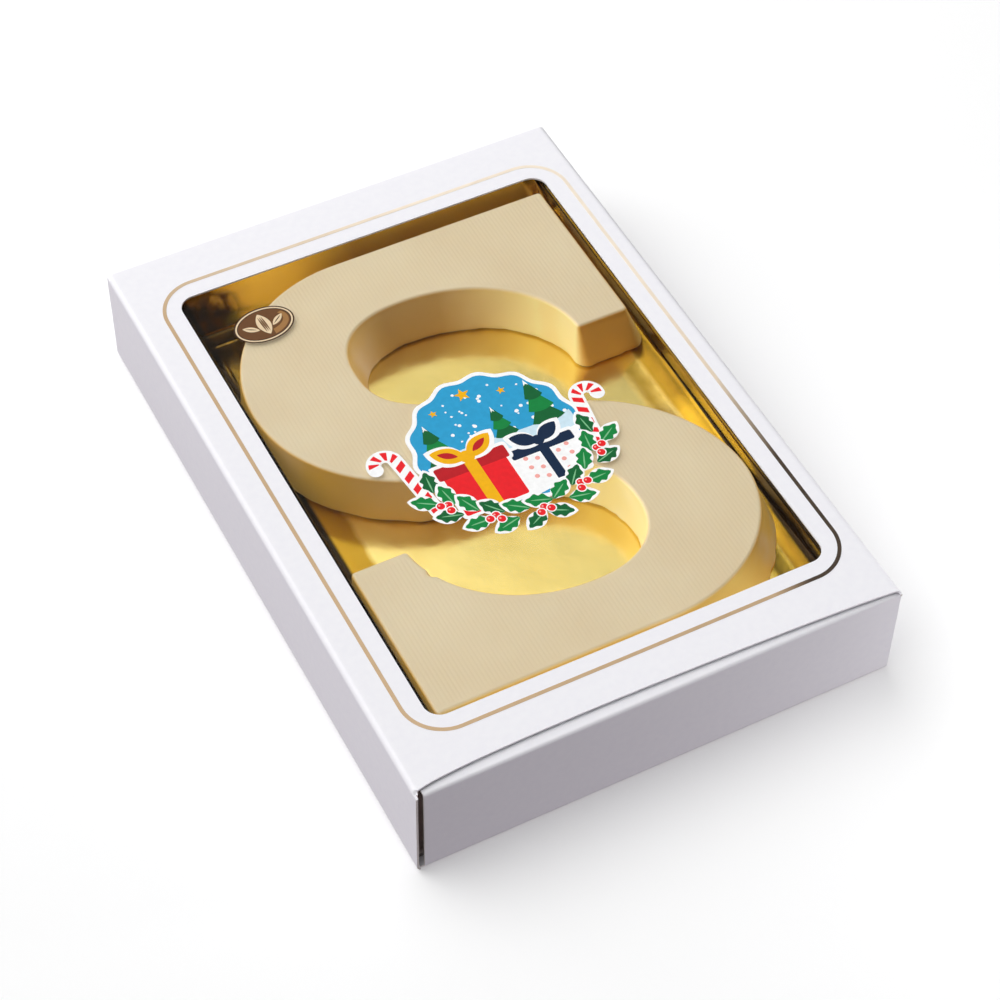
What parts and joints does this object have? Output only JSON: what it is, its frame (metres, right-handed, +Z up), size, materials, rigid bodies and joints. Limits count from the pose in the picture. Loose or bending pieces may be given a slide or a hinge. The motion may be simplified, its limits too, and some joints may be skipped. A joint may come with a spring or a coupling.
{
  "type": "boxed chocolate letter",
  "caption": "Flat window carton holding a moulded white chocolate letter S on a gold card insert, under clear film; shut, lies on its base.",
  "frame": {"origin": "middle of the carton's underside", "axes": "+Z up out of the window, +Y along the carton's length towards the top of the letter, +X towards the letter's right"},
  "size_m": [0.15, 0.212, 0.0356],
  "materials": {
    "white_board": "satin",
    "clear_film": "gloss",
    "gold_card": "gloss",
    "white_chocolate": "satin"
  },
  "bodies": {
    "root": {"carton": "white_board", "window_film": "clear_film", "gold_insert": "gold_card", "chocolate_letter": "white_chocolate"}
  },
  "joints": []
}
